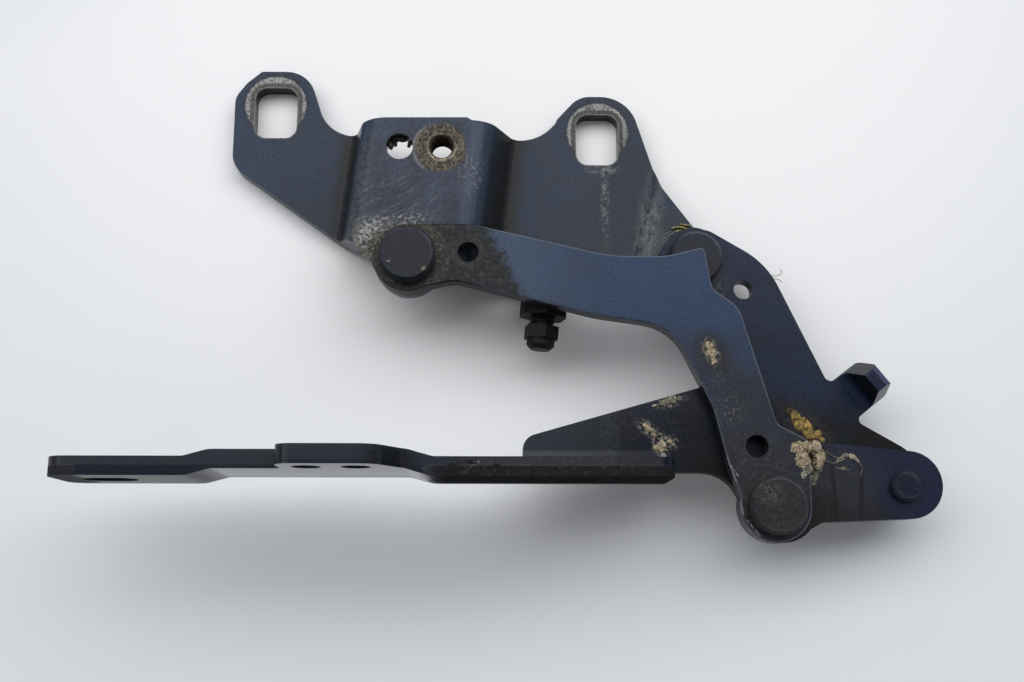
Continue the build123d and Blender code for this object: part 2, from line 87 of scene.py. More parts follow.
class Finish:
    """One material on the Principled shader, read in object coordinates in mm."""

    def __init__(self, name, roughness=0.5, **constants):
        self.material = bpy.data.materials.new(name)
        self.material.use_nodes = True
        self.tree = self.material.node_tree
        self.shader = self.tree.nodes["Principled BSDF"]
        self.shader.inputs["Roughness"].default_value = roughness
        for key, value in constants.items():
            self.shader.inputs[key.replace("_", " ")].default_value = value
        self.place = self.node("TexCoord", "Object") * 1000.0
        self.x = self.node("SeparateXYZ", "X", Vector=self.place)
        self.y = self.node("SeparateXYZ", "Y", Vector=self.place)
        self.z = self.node("SeparateXYZ", "Z", Vector=self.place)
        self.up = self.node("SeparateXYZ", "Z", Vector=self.node("TexCoord", "Normal"))

    def node(self, kind, output, **settings):
        """Any node: small-letter settings are its properties, capitals its sockets."""
        node = self.tree.nodes.new("ShaderNode" + kind)
        for key, value in settings.items():
            if key[0].islower():
                setattr(node, key, value)
            else:
                put(self.tree, self.socket(node.inputs, key), value)
        out = self.socket(node.outputs, output)
        return Value(self.tree, out, out.type in ("VECTOR", "RGBA"))

    def socket(self, sockets, key):
        """The socket with this identifier or name."""
        return next(s for s in sockets if key == s.identifier or key.replace("_", " ") == s.name)

    def noise(self, grain, detail=4.0, rough=0.6, shift=(0.0, 0.0, 0.0), stretch=(1.0, 1.0, 1.0)):
        """Noise about 0 to 1 whose grain is in mm."""
        place = (self.place + shift) * tuple(s / grain for s in stretch)
        return self.node("TexNoise", "Fac", Vector=place, Scale=1.0, Detail=detail, Roughness=rough)

    def flecks(self, grain, low, high, shift=0.0, rough=0.72):
        """Flakes and specks: 1 where the noise is above high, 0 below low."""
        shifted = (shift, shift * 0.7, shift * 1.3)
        return self.step(self.noise(grain, 5.0, rough, shifted), low, high)

    def streaks(self, angle, long, short, low, high, shift=0.0):
        """Fine parallel marks that run at an angle from X."""
        c, s = math.cos(math.radians(angle)), math.sin(math.radians(angle))
        along = (self.x * c + self.y * s) / long
        across = (self.y * c - self.x * s) / short + shift
        place = self.node("CombineXYZ", "Vector", X=along, Y=across, Z=self.z / long)
        marks = self.node("TexNoise", "Fac", Vector=place, Scale=1.0, Detail=4.0, Roughness=0.65)
        return self.step(marks, low, high)

    def step(self, value, low, high):
        """Smooth step from 0 at low to 1 at high."""
        return self.node("MapRange", "Result", interpolation_type="SMOOTHSTEP", Value=value,
                         From_Min=low, From_Max=high)

    def band(self, value, middle, half, soft):
        """1 where a value is within half of the middle."""
        return 1.0 - self.step((value - middle).size(), half, half + soft)

    def away(self, x, y):
        """Distance in the plate's plane from x, y."""
        return ((self.x - x) ** 2.0 + (self.y - y) ** 2.0).root()

    def spot(self, x, y, rx, ry, turn=0.0, soft=0.6):
        """1 inside an ellipse, fading out over its rim."""
        c, s = math.cos(math.radians(turn)), math.sin(math.radians(turn))
        u = ((self.x - x) * c + (self.y - y) * s) / rx
        v = ((self.y - y) * c - (self.x - x) * s) / ry
        return 1.0 - self.step((u ** 2.0 + v ** 2.0).root(), 1.0 - soft, 1.0 + soft)

    def line(self, x0, y0, x1, y1, half=0.15):
        """1 on a straight scratch from one point to another."""
        length = math.dist((x0, y0), (x1, y1))
        c, s = (x1 - x0) / length, (y1 - y0) / length
        along = ((self.x - x0) * c + (self.y - y0) * s).most(0.0).least(length)
        off = ((self.x - x0 - along * c) ** 2.0 + (self.y - y0 - along * s) ** 2.0).root()
        return 1.0 - self.step(off, half * 0.5, half * 1.5)

    def slot_away(self, x, y, w, h, r):
        """Distance outwards from the rim of a rounded slot."""
        u = ((self.x - x).size() - (w / 2 - r)).most(0.0)
        v = ((self.y - y).size() - (h / 2 - r)).most(0.0)
        return (u ** 2.0 + v ** 2.0).root() - r

    def mix(self, a, b, share):
        """Colour from a to b by share."""
        return self.node("Mix", "Result_Color", data_type="RGBA",
                         Factor_Float=share, A_Color=a, B_Color=b)

    def finish(self, colour, roughness=None, bump=None, strength=0.6, matt=None):
        """Feed the varying values to the shader; where matt is 1 a dull one takes its place."""
        shaders = [self.shader]
        if matt is not None:
            dull = self.tree.nodes.new("ShaderNodeBsdfPrincipled")
            dull.inputs["Specular IOR Level"].default_value = 0.0
            shaders.append(dull)
            both = self.node("MixShader", "Shader", Fac=matt)
            for socket, shader in zip(both.out.node.inputs[1:], shaders):
                self.tree.links.new(shader.outputs[0], socket)
            self.tree.links.new(both.out, self.tree.nodes["Material Output"].inputs["Surface"])
        for shader in shaders:
            put(self.tree, shader.inputs["Base Color"], colour)
            if roughness is not None:
                put(self.tree, shader.inputs["Roughness"], roughness)
        if bump is not None:
            normal = self.node("Bump", "Normal", Height=bump * MM, Distance=1.0, Strength=strength)
            for shader in shaders:
                put(self.tree, shader.inputs["Normal"], normal)
        return self.material


def paint_base(f, blue, grey, share, shift=0.0):
    """Electro-dipped paint: from clean blue to filmed grey, with a fine sparkle of dust."""
    cloud = f.noise(11.0, 4.0, 0.6, (shift, 0.0, 0.0))
    fine = f.noise(0.75, 4.0, 0.75, (0.0, shift, 0.0))
    film = (f.step(cloud, 0.35, 0.7) * 0.5 + share).least(1.0).most(0.0)
    colour = f.mix(blue, grey, film)
    return colour * (fine * 2.2 - 0.1), cloud, fine


def dress(node, material):
    """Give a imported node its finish."""
    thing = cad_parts[node]
    thing.data.materials.clear()
    thing.data.materials.append(material)


SPECULAR = 0.13
STEEL = (0.36, 0.36, 0.35)
BEND_SHADE = (0.016, 0.015, 0.013)

f = Finish("body_bracket_paint", Specular_IOR_Level=SPECULAR)
ear_film = f.step(f.x, 62.0, 84.0) * 0.35 + f.step(f.y * -1.0, 20.0, 45.0) * 0.3
colour, cloud, fine = paint_base(f, (0.021, 0.036, 0.066), (0.027, 0.033, 0.044), ear_film)
pad_turn = math.radians(6.8)
across = f.x * math.cos(pad_turn) - f.y * math.sin(pad_turn)
pad = f.step(f.z, 15.5, 17.8) * (1.0 - f.step(across, 60.0, 66.0))
pad_shade = f.step(cloud - f.y * 0.006, 0.42, 0.76)
pad_tone = f.mix((0.044, 0.056, 0.086), (0.028, 0.034, 0.050), pad_shade)
colour = f.mix(colour, pad_tone * (fine * 2.0), pad * 0.75)
# Painted shade darkens both bends of the pad, broken up by flecks.
bends = f.band(across, 22.6, 1.2, 3.4) * 0.75 + f.band(across, 66.5, 2.0, 4.5) * 0.75
colour = f.mix(colour, BEND_SHADE, bends * (f.flecks(3.0, 0.25, 0.6, 2.0) * 0.35 + 0.85))
sheen = f.band(across, 57.4, 0.9, 1.6) * f.step(f.z, 14.0, 17.0)
colour = f.mix(colour, (0.060, 0.080, 0.130), sheen * 0.45)
ear_top = f.step(f.z, 3.0, 4.4)
for x, y, low_left, low_right in ((-0.2, 2.3, -3.6, -5.5), (90.3, -5.1, -14.0, -13.0)):
    away = f.away(x, y) + (f.noise(1.2, 5.0, 0.75) - 0.5) * 0.7
    ring = (1.0 - f.step(away, 8.4, 8.8)) * ear_top * f.step(f.up, 0.7, 0.95)
    floor_y = f.step(f.x, x - 2.0, x + 2.0) * (low_right - low_left) + low_left
    ring = ring * f.step(f.y - floor_y, -1.2, 0.8)
    worn = f.flecks(0.75, 0.36, 0.56, 5.0) * 0.8 + 0.2
    colour = f.mix(colour, STEEL, ring * worn * 0.9)
    colour = f.mix(colour, (0.045, 0.045, 0.040), ring * f.flecks(0.8, 0.52, 0.60, 9.0) * 0.8)
    halo = f.band(f.away(x, y), 8.9, 0.3, 0.5) * f.flecks(1.6, 0.4, 0.62)
    colour = f.mix(colour, (0.012, 0.013, 0.016), halo * 0.7)
for x, y in SLOTS:
    rim = f.slot_away(x, y, SLOT_WIDTH, SLOT_HEIGHT, SLOT_CORNER)
    # Painted shade round the upper side of each slot's mouth.
    slot_mouth_shade = f.band(rim, 0.7, 0.5, 0.5) * ear_top
    colour = f.mix(colour, (0.032, 0.032, 0.027), slot_mouth_shade * f.step(f.y - y, -6.5, -2.0) * 0.8)
    pale_lip = f.band(rim, 0.12, 0.06, 0.14) * ear_top * f.flecks(1.4, 0.38, 0.52)
    colour = f.mix(colour, (0.26, 0.255, 0.23), pale_lip * 0.6)
    # Painted shade on each slot's inner walls.
    wall = f.band(rim, 0.0, 0.25, 0.1) * (1.0 - f.step(f.up.size(), 0.2, 0.6))
    colour = f.mix(colour, (0.022, 0.021, 0.016), wall)
rust_away = f.away(46.9, -15.2) + (f.noise(2.4, 4.0, 0.6, (3.0, 7.0, 0.0)) - 0.5) * 1.6
top = f.step(f.z, 16.0, 18.0)
rust = (1.0 - f.step(rust_away, 6.4, 7.2)) * top
rust_tone = f.mix((0.020, 0.016, 0.012), (0.17, 0.14, 0.092), f.flecks(0.7, 0.42, 0.62))
colour = f.mix(colour, rust_tone, rust * 0.85)
arcs = f.step((rust_away * 6.5).sine() * 0.5 + f.noise(2.0), 0.75, 1.15)
colour = f.mix(colour, (0.20, 0.178, 0.13), arcs * rust * f.step(rust_away, 3.6, 4.4) * 0.4)
crescent = f.band(f.away(46.6, -15.4), 7.0, 0.15, 0.5) * (1.0 - f.step(f.x, 41.0, 45.5)) * top
colour = f.mix(colour, (0.20, 0.205, 0.20), crescent * f.flecks(1.2, 0.35, 0.55) * 0.6)
hole_lip = f.band(f.away(*STRUT_HOLE), 3.75, 0.2, 0.3) * top
hole_lip = hole_lip * (1.0 - f.step(f.y, -17.5, -13.0)) * f.flecks(0.9, 0.38, 0.54)
colour = f.mix(colour, (0.42, 0.38, 0.28), hole_lip * 0.6)
bore_wall = 1.0 - f.step(f.away(*STRUT_HOLE), 3.25, 3.45)
colour = f.mix(colour, (0.030, 0.022, 0.014), bore_wall)
plain_wall = 1.0 - f.step(f.away(*PLAIN_HOLE), 3.62, 3.75)
colour = f.mix(colour, (0.014, 0.014, 0.012), plain_wall)
colour = f.mix(colour, (0.30, 0.28, 0.24), plain_wall * f.flecks(0.7, 0.55, 0.62) * 0.8)
scrapes = f.streaks(28.0, 9.0, 0.55, 0.50, 0.64) * f.spot(31.0, -32.0, 11.0, 12.0, 30.0)
scrapes = scrapes + (f.streaks(36.0, 7.0, 0.5, 0.54, 0.66, 5.0)
                     * f.spot(42.0, -31.0, 13.0, 8.0) * 0.6)
scrapes = scrapes + (f.streaks(84.0, 8.0, 0.7, 0.50, 0.64, 9.0)
                     * f.spot(55.6, -22.0, 3.4, 10.0) * 0.8)
colour = f.mix(colour, (0.15, 0.155, 0.155), scrapes * f.flecks(0.9, 0.34, 0.60, 15.0) * pad * 0.75)
caked = f.spot(27.5, -42.0, 5.2, 6.4, 20.0) * f.flecks(0.9, 0.46, 0.58, 4.0)
caked = caked + f.spot(34.0, -37.2, 9.0, 2.8, 10.0) * f.flecks(1.0, 0.48, 0.60, 8.0)
caked = caked + f.spot(57.6, -22.4, 4.6, 4.0) * f.flecks(1.0, 0.52, 0.62, 14.0) * 0.6
colour = f.mix(colour, (0.33, 0.32, 0.29), caked * top * 0.85)
left_wall = f.band(across, 28.3, 1.6, 1.0) * (1.0 - f.step(f.y, -16.0, -8.0))
colour = f.mix(colour, (0.085, 0.083, 0.075), left_wall * f.flecks(1.6, 0.40, 0.64, 6.0) * 0.7)
run = f.spot(92.2, -25.0, 1.1, 10.0) * f.flecks(1.0, 0.46, 0.60, 3.0)
run = run + f.spot(92.0, -16.2, 4.2, 1.2) * f.flecks(0.9, 0.44, 0.58, 1.0)
colour = f.mix(colour, (0.21, 0.21, 0.195), run * 0.8)
# On the ramp up to the land at B: pale dust streaks together with a painted highlight.
land_marks = f.streaks(82.0, 4.0, 1.3, 0.36, 0.66) * 0.6 + f.flecks(1.6, 0.42, 0.62, 21.0) * 0.4
land_dust_and_highlight = f.spot(104.2, -31.5, 2.6, 12.0, -8.0, 0.8) * land_marks
colour = f.mix(colour, (0.22, 0.235, 0.24), land_dust_and_highlight * 0.75)
by_b = f.band(f.away(*PIVOT_B), 9.4, 1.6, 1.4) * (1.0 - f.step(f.x, 111.0, 116.0))
by_b = by_b * f.step(f.y, -50.0, -44.0)
by_b = by_b * f.step((f.away(*PIVOT_B) * 8.0).sine() * 0.5 + f.noise(1.4), 0.45, 1.0)
colour = f.mix(colour, (0.15, 0.145, 0.125), by_b * f.flecks(0.9, 0.36, 0.56) * 0.75)
beside_a = f.band(f.away(*PIVOT_A), 8.6, 2.2, 2.6) * (1.0 - f.step(f.x, 31.0, 40.0))
colour = f.mix(colour, (0.026, 0.023, 0.019), beside_a * 0.75)
colour = f.mix(colour, (0.17, 0.16, 0.13), beside_a * f.flecks(0.8, 0.52, 0.60, 7.0) * 0.7)
shaded = f.spot(9.0, -28.0, 11.0, 9.0, -40.0, 0.8)
shaded = shaded + f.spot(100.0, -19.0, 8.0, 13.0, -15.0, 0.8)
colour = f.mix(colour, (0.012, 0.016, 0.024), shaded * 0.3)
grit = f.flecks(0.5, 0.66, 0.72, 12.0)
colour = f.mix(colour, (0.15, 0.15, 0.145), grit * 0.45)
rough = fine * 0.10 + cloud * 0.06 + (ring + rust + land_dust_and_highlight).least(1.0) * 0.25 + 0.19
bump = fine * 0.02 + cloud * 0.05 + (scrapes + caked + land_dust_and_highlight + arcs * rust).least(1.0) * 0.05
dress("body_bracket", f.finish(colour, rough, bump))

f = Finish("tapping_plate_paint", Specular_IOR_Level=SPECULAR)
colour, _, fine = paint_base(f, (0.016, 0.014, 0.012), (0.03, 0.024, 0.017), 0.3)
dress("strut_tapping_plate", f.finish(colour, 0.5 + fine * 0.1))


# Front link: flat blanked plate, the outermost piece, with the bluest and cleanest paint.
# It hangs on the rivets at A and C. Grease has browned it round A and dust lies at its corner.
f = Finish("front_link_paint", Specular_IOR_Level=0.17)
link_film = f.step(f.y * -1.0, 60.0, 84.0) * 0.95 - 0.15
colour, cloud, fine = paint_base(f, (0.0145, 0.035, 0.083), (0.0165, 0.0195, 0.029), link_film, 3.0)
colour = colour + (0.016, 0.019, 0.012) * (1.0 - f.step(f.x, 62.0, 92.0))
grease = 1.0 - f.step(f.x + (f.noise(3.0, 6.0, 0.8) - 0.5) * 12.0 + (f.y + 46.0) * 0.5, 61.5, 65.0)
greasy = f.mix((0.005, 0.005, 0.005), (0.044, 0.043, 0.040), f.flecks(1.6, 0.46, 0.70))
colour = f.mix(colour, greasy, grease * 0.93)
low_end = f.spot(127.0, -107.0, 12.0, 13.0)
low_tone = f.mix((0.015, 0.015, 0.017), (0.048, 0.047, 0.046), f.flecks(1.1, 0.46, 0.72, 3.0))
colour = f.mix(colour, low_tone, low_end * 0.8)
dusty_rim = f.spot(126.0, -98.0, 5.0, 9.0, 15.0) * f.flecks(0.8, 0.54, 0.66, 19.0)
colour = f.mix(colour, (0.09, 0.09, 0.088), dusty_rim * 0.5)
speck = f.flecks(0.5, 0.62, 0.70, 2.0)
colour = f.mix(colour, (0.12, 0.13, 0.15), speck * 0.3)
beside_a = f.band(f.away(*PIVOT_A), 8.6, 1.6, 1.0)
colour = f.mix(colour, (0.030, 0.026, 0.020), beside_a * 0.7)
colour = f.mix(colour, (0.15, 0.15, 0.135), beside_a * f.flecks(0.8, 0.55, 0.62, 7.0) * 0.6)
dark_halo = f.spot(116.9, -71.8, 3.6, 5.6, 20.0)
colour = f.mix(colour, (0.010, 0.009, 0.008), dark_halo * 0.75)
splash = f.spot(116.7, -71.8, 1.7, 3.0, 20.0) * f.flecks(0.9, 0.46, 0.58, 1.0)
splash = splash + f.spot(118.2, -78.2, 1.4, 2.6, 10.0) * f.flecks(0.8, 0.54, 0.64, 3.0) * 0.35
splash = splash + f.spot(120.6, -87.0, 4.0, 3.4) * f.flecks(0.8, 0.52, 0.64, 8.0) * 0.3
colour = f.mix(colour, (0.31, 0.28, 0.22), splash * 0.85)
# Painted highlight along the link's chamfered rims, on its right-hand part.
edge = (1.0 - f.step(f.up, 0.85, 0.98)) * f.step(f.up, 0.3, 0.6)
edge_highlight_reach = f.step(f.x, 52.0, 64.0) * (0.55 + f.flecks(2.4, 0.3, 0.6, 4.0) * 0.45)
colour = f.mix(colour, (0.088, 0.098, 0.118), edge * edge_highlight_reach * 0.8)
scratched = f.line(119.9, -99.0, 121.8, -104.8, 0.22) + f.line(122.2, -107.0, 123.4, -113.2, 0.2)
scratched = scratched + f.line(120.8, -101.0, 122.4, -103.4, 0.15)
scratched = scratched + f.line(124.4, -114.6, 127.2, -118.2, 0.22)
colour = f.mix(colour, (0.24, 0.25, 0.26), scratched * f.flecks(0.9, 0.40, 0.56) * 0.8)
side = 1.0 - f.step(f.up.size(), 0.1, 0.3)
colour = f.mix(colour, (0.010, 0.010, 0.012), side * 0.85)
hole_mouth = f.band(f.away(54.6, -45.8), 3.4, 0.5, 1.2) * f.flecks(1.6, 0.35, 0.6)
colour = f.mix(colour, (0.036, 0.034, 0.030), hole_mouth * 0.5)
rough = fine * 0.10 + cloud * 0.05 + (grease + splash).least(1.0) * 0.16 + 0.20
bump = fine * 0.02 + cloud * 0.05 + (splash + grease * f.flecks(1.8, 0.3, 0.7, 5.0)) * 0.09
dress("front_link", f.finish(colour, rough, bump))


# Rear link: the same sheet, darker towards the bottom, its opening stop bent up from the edge.
# It turns on the rivet at B and carries the bonnet bracket's end at D.
f = Finish("rear_link_paint", Specular_IOR_Level=0.14)
rear_darker_below = f.step(f.y * -1.0, 78.0, 92.0) * 0.9 - 0.15
colour, cloud, fine = paint_base(f, (0.0085, 0.0155, 0.038), (0.0045, 0.0045, 0.0065),
                                 rear_darker_below, 5.0)
stain = f.spot(143.0, -90.0, 8.0, 4.0, -48.0) * f.flecks(1.4, 0.40, 0.62, 7.0)
colour = f.mix(colour, (0.034, 0.028, 0.018), stain * 0.8)
# Painted shade on the bent-up stop's faces, with pale dust flecks.
tab_shade = f.step(f.z, 14.0, 17.0)
tab_shade_tone = f.mix((0.006, 0.006, 0.007), (0.030, 0.030, 0.030), f.flecks(1.6, 0.48, 0.72, 2.0))
colour = f.mix(colour, tab_shade_tone, tab_shade * 0.8)
nose = f.step(f.z, 23.0, 23.7) * f.step(f.up, 0.6, 0.9)
colour = f.mix(colour, (0.008, 0.011, 0.032), nose * 0.9)
nose_break = f.step(f.z, 21.7, 22.1) * f.band(f.up, 0.65, 0.12, 0.1)
colour = f.mix(colour, (0.012, 0.020, 0.070), nose_break)
dusty = f.spot(118.6, -53.0, 4.5, 6.0) * f.flecks(1.0, 0.48, 0.62, 4.0)
dusty = dusty + f.spot(123.0, -60.0, 2.0, 6.0, 25.0) * f.flecks(1.0, 0.55, 0.66, 1.0) * 0.5
colour = f.mix(colour, (0.11, 0.11, 0.105), dusty * 0.6)
outer = f.band(f.up, 0.0, 0.2, 0.2)
colour = f.mix(colour, (0.006, 0.007, 0.010), outer * 0.7)
grit = f.flecks(0.6, 0.66, 0.72, 4.0)
colour = f.mix(colour, (0.08, 0.08, 0.075), grit * 0.4)
rough = fine * 0.10 + cloud * 0.05 + stain * 0.2 + 0.20
bump = fine * 0.02 + cloud * 0.05 + stain * 0.06
dress("rear_link", f.finish(colour, rough, bump))


# Bonnet bracket: web and arm in one sheet with the stepped flange that the bonnet bolts to.
# Splashes of mud dried on the web and arm. The flange's face is glossy in the middle, where it was
# never rubbed, and towards its ends dulled by oily dirt and darkened with painted shade.
ARM_TOP, FLANGE_TOP, TAB_TOP = 18.5, 45.5, 57.0
f = Finish("bonnet_bracket_paint", Specular_IOR_Level=0.2)
clean_end = f.step(f.x + (f.y + 105.0) * 0.9 + (f.noise(5.0, 4.0, 0.6) - 0.5) * 12.0, 150.0, 162.0)
web_film = 0.65 - clean_end * 1.1
colour, cloud, fine = paint_base(f, (0.0055, 0.0095, 0.029), (0.0070, 0.0085, 0.0125),
                                 web_film, 8.0)
left_web = (1.0 - f.step(f.x, 74.0, 98.0)) * f.step(f.y, -101.0, -99.0)
colour = f.mix(colour, (0.015, 0.022, 0.033), left_web * 0.75)
dusty_arm = f.spot(149.5, -105.0, 9.0, 9.0) * (0.5 + f.flecks(1.2, 0.46, 0.68, 11.0) * 0.5)
colour = f.mix(colour, (0.026, 0.027, 0.029), dusty_arm * 0.8)
low_arm = f.spot(142.0, -113.0, 9.0, 6.0)
low_tone = f.mix((0.004, 0.0035, 0.0035), (0.020, 0.018, 0.015), f.flecks(1.5, 0.44, 0.74, 6.0))
colour = f.mix(colour, low_tone, low_arm * 0.8)
# Painted shade along the arm's two bend lines.
for x0, y0, x1, y1 in ((147.6, -100.5, 148.2, -114.5), (155.2, -101.0, 154.3, -114.5)):
    colour = f.mix(colour, (0.004, 0.004, 0.005), f.line(x0, y0, x1, y1, 0.55) * 0.7)
smear = f.spot(91.0, -92.0, 2.4, 7.0) * f.flecks(1.5, 0.40, 0.62, 17.0)
colour = f.mix(colour, (0.030, 0.034, 0.040), smear * 0.7)
low_web = f.spot(118.0, -104.0, 10.0, 7.0)
colour = f.mix(colour, (0.0065, 0.0065, 0.0065), low_web * 0.8)
mud = f.spot(101.0, -91.0, 3.0, 1.5, -35.0) + f.spot(104.2, -95.0, 2.0, 2.6, 10.0)
mud = mud + f.spot(106.8, -94.4, 1.4, 1.6) + f.spot(106.6, -84.0, 3.6, 1.3, 15.0)
mud = mud.least(1.0) * f.flecks(0.8, 0.46, 0.58, 2.0) * f.band(f.z, ARM_TOP, 0.3, 0.3)
colour = f.mix(colour, (0.30, 0.28, 0.22), mud * 0.8)
film = (f.spot(102.0, -91.0, 11.0, 7.0, -30.0) + f.spot(144.0, -99.0, 6.0, 7.0)).least(1.0)
colour = f.mix(colour, (0.036, 0.035, 0.032), film * f.flecks(1.3, 0.50, 0.68) * 0.5)
top_edge = f.band(f.z, FLANGE_TOP, 0.15, 0.3) + f.band(f.z, TAB_TOP, 0.15, 0.3)
colour = f.mix(colour, (0.010, 0.014, 0.024), top_edge * 0.6)
lip = top_edge * f.step(f.x, 50.0, 60.0) * (f.flecks(1.2, 0.40, 0.66, 5.0) * 0.7 + 0.3)
colour = f.mix(colour, (0.034, 0.034, 0.035), lip * 0.7)
nick = f.line(57.9, -102.2, 54.2, -104.6, 0.22) * f.flecks(0.8, 0.40, 0.55)
colour = f.mix(colour, (0.14, 0.14, 0.14), nick * top_edge * 0.8)
face = (1.0 - f.step(f.y, -103.4, -103.0)) * f.step(f.z, 24.0, 26.0)
# Painted shade and oily dirt darken the face towards its ends.
oily_dirt_and_shade = f.step(f.x + (f.noise(3.0, 4.0, 0.6) - 0.5) * 8.0, 44.0, 50.0)
oily_dirt_and_shade = oily_dirt_and_shade + (1.0 - f.step(f.x, -37.0, -34.0)) * 0.5
colour = f.mix(colour, (0.014, 0.014, 0.014), face * oily_dirt_and_shade * 0.8)
rubbed = oily_dirt_and_shade * f.flecks(1.1, 0.56, 0.66, 4.0)
colour = f.mix(colour, (0.075, 0.072, 0.066), face * rubbed * 0.5)
rough = fine * 0.10 + cloud * 0.05 + mud * 0.3 + 0.20
rough = rough * (1.0 - face * 0.45) + face * oily_dirt_and_shade * 0.7
bump = (fine * 0.02 + cloud * 0.05) * (1.0 - face * 0.8) + mud * 0.12
bump = bump + face * oily_dirt_and_shade * f.noise(0.9, 4.0, 0.7) * 0.7
left_end = 1.0 - f.step(f.x, -9.0, -3.0)
matt = face * (left_end * 0.5 + f.step(f.x, 44.0, 50.0) * 0.85)
matt = matt + f.spot(112.0, -98.0, 20.0, 13.0) * (1.0 - face) * 0.55
dress("bonnet_bracket", f.finish(colour, rough, bump, matt=matt))


# Rivets: cold-headed steel pins, painted with the rest after clenching.
# Each head's round edge, left by the header die, carries a painted highlight, brightest towards the
# window.
PIVOT_C, PIVOT_D = (131.7, -111.0), (166.0, -105.6)
for name, (x, y), rim_r, blue in (("rivet_a", PIVOT_A, 6.5, (0.009, 0.012, 0.020)),
                                  ("rivet_b", PIVOT_B, 6.5, (0.011, 0.015, 0.028)),
                                  ("rivet_c", PIVOT_C, 6.5, (0.026, 0.026, 0.028)),
                                  ("rivet_d_head", PIVOT_D, 6.5, (0.008, 0.011, 0.020)),
                                  ("rivet_d_tail", PIVOT_D, 3.2, (0.005, 0.008, 0.026))):
    f = Finish(name + "_paint", Specular_IOR_Level=SPECULAR)
    colour, _, fine = paint_base(f, blue, (0.013, 0.014, 0.016), 0.1, x)
    away = f.away(x, y)
    ring = f.band(away, rim_r, 0.12, 0.35) * f.flecks(2.2, 0.3, 0.6, 1.0)
    lit = f.step((f.x - x) * 0.45 + (f.y - y) * 0.8, 0.0, 5.5)
    colour = f.mix(colour, (0.060, 0.062, 0.095), ring * (lit * 0.7 + 0.1))
    smear = f.flecks(2.4, 0.5, 0.7, x)
    colour = f.mix(colour, (0.026, 0.026, 0.027), smear * 0.4)
    crumbs = f.flecks(0.7, 0.62, 0.68, x)
    if name == "rivet_c":
        crumbs = crumbs + f.spot(x - 2.6, y + 3.0, 3.4, 2.6) * f.flecks(0.7, 0.47, 0.58, 2.0)
    colour = f.mix(colour, (0.11, 0.11, 0.10), crumbs.least(1.0) * 0.5)
    skirt = f.step(away, rim_r + 0.7, rim_r + 0.8)
    colour = f.mix(colour, (0.020, 0.018, 0.016), skirt * 0.8)
    rough = 0.20 + fine * 0.12 + smear * 0.08
    bump = fine * 0.03 + ring * 0.05 + smear * 0.03
    dress(name, f.finish(colour, rough, bump))


# Bushes and spacer washers: bronze sleeves in the links, flat steel rings between the plates.
# Both are greased and nearly hidden.
f = Finish("bronze_sleeve", 0.45, Metallic=0.7)
bronze = f.finish(f.mix((0.16, 0.11, 0.055), (0.06, 0.05, 0.04), f.noise(1.5)))
f = Finish("washer_steel", 0.55, Metallic=0.3)
washer = f.finish(f.mix((0.020, 0.018, 0.015), (0.12, 0.105, 0.08), f.flecks(0.9, 0.52, 0.66)))
for letter in "abcd":
    dress("bush_" + letter, bronze)
    dress("washer_" + letter, washer)


# Stop screw and lock nut: black phosphated steel, oily and dusty.
# The nut clamps the screw in the bracket's tab at the set height. Thread ridges are wound here for
# the screw and, in rusty steel, for the strut's tapped hole.
f = Finish("phosphate", Specular_IOR_Level=0.1)
fine = f.noise(0.8, 5.0, 0.75)
colour = f.mix((0.0045, 0.0045, 0.004), (0.014, 0.0135, 0.012), f.step(fine, 0.42, 0.7))
phosphate = f.finish(colour, 0.42 + fine * 0.15, fine * 0.06)
dress("stop_screw", phosphate)
dress("stop_lock_nut", phosphate)

THREAD_PITCH = 1.0


def thread(name, matrix, radius, turns, depth, material, body):
    """Helical ridge wound from a small triangle, then moved to its place. Sizes are in mm."""
    bpy.ops.object.select_all(action="DESELECT")
    bpy.ops.mesh.primitive_circle_add(vertices=3, radius=depth * MM, location=(radius * MM, 0, 0),
                                      rotation=(math.pi / 2, 0, 0))
    bpy.ops.object.transform_apply(location=True, rotation=True, scale=True)
    thing = bpy.context.object
    thing.name = name
    wind = thing.modifiers.new("wind", "SCREW")
    wind.axis, wind.angle, wind.iterations = "Z", 2 * math.pi, turns
    wind.screw_offset = THREAD_PITCH * MM
    wind.steps = wind.render_steps = 40
    bpy.ops.object.modifier_apply(modifier=wind.name)
    bpy.ops.object.mode_set(mode="EDIT")
    bpy.ops.mesh.select_all(action="SELECT")
    bpy.ops.mesh.fill_holes(sides=3)
    bpy.ops.mesh.normals_make_consistent(inside=False)
    bpy.ops.object.mode_set(mode="OBJECT")
    thing.matrix_world = matrix
    bpy.ops.object.transform_apply(location=True, rotation=True, scale=True)
    thing.data.materials.append(material)
    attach(thing, body)


screw_axis = (Matrix.Translation((0.0749, -0.054, 0.0126))
              @ Matrix.Rotation(math.radians(-5.2), 4, "Z")
              @ Matrix.Rotation(math.radians(90), 4, "X"))
for name, along, turns in (("screw_thread", 6.75, 2), ("screw_thread_behind", -9.4, 4)):
    thread(name, screw_axis @ Matrix.Translation((0, 0, along * MM)), 3.0, turns, 0.34,
           phosphate, "body")
f = Finish("rusty_thread", 0.6, Specular_IOR_Level=0.2)
rusty = f.finish(f.mix((0.020, 0.013, 0.008), (0.12, 0.085, 0.05), f.flecks(0.8, 0.45, 0.65)))
thread("strut_hole_thread", Matrix.Translation((0.0472, -0.015, 0.0108)), 3.1, 7, 0.28,
       rusty, "body")


# Dried mud: crusts that splashed up from the road and cracked as they dried.
# They cling to the links, the arm, the web, the pad and the flange's edge, and each moves with its
# plate: on the arm only what lies below the front link stays, and what is taller is the link's.
REAR_LINK_TOP, PAD_TOP, FRONT_LINK_TOP, RIVET_TOP = 13.0, 18.5, 24.0, 28.05


def reskin(thing, voxel):
    """One closed skin round everything in the mesh, its faces about this many mm wide."""
    skin = thing.modifiers.new("skin", "REMESH")
    skin.mode, skin.voxel_size = "VOXEL", voxel * MM
    bpy.ops.object.modifier_apply(modifier=skin.name)


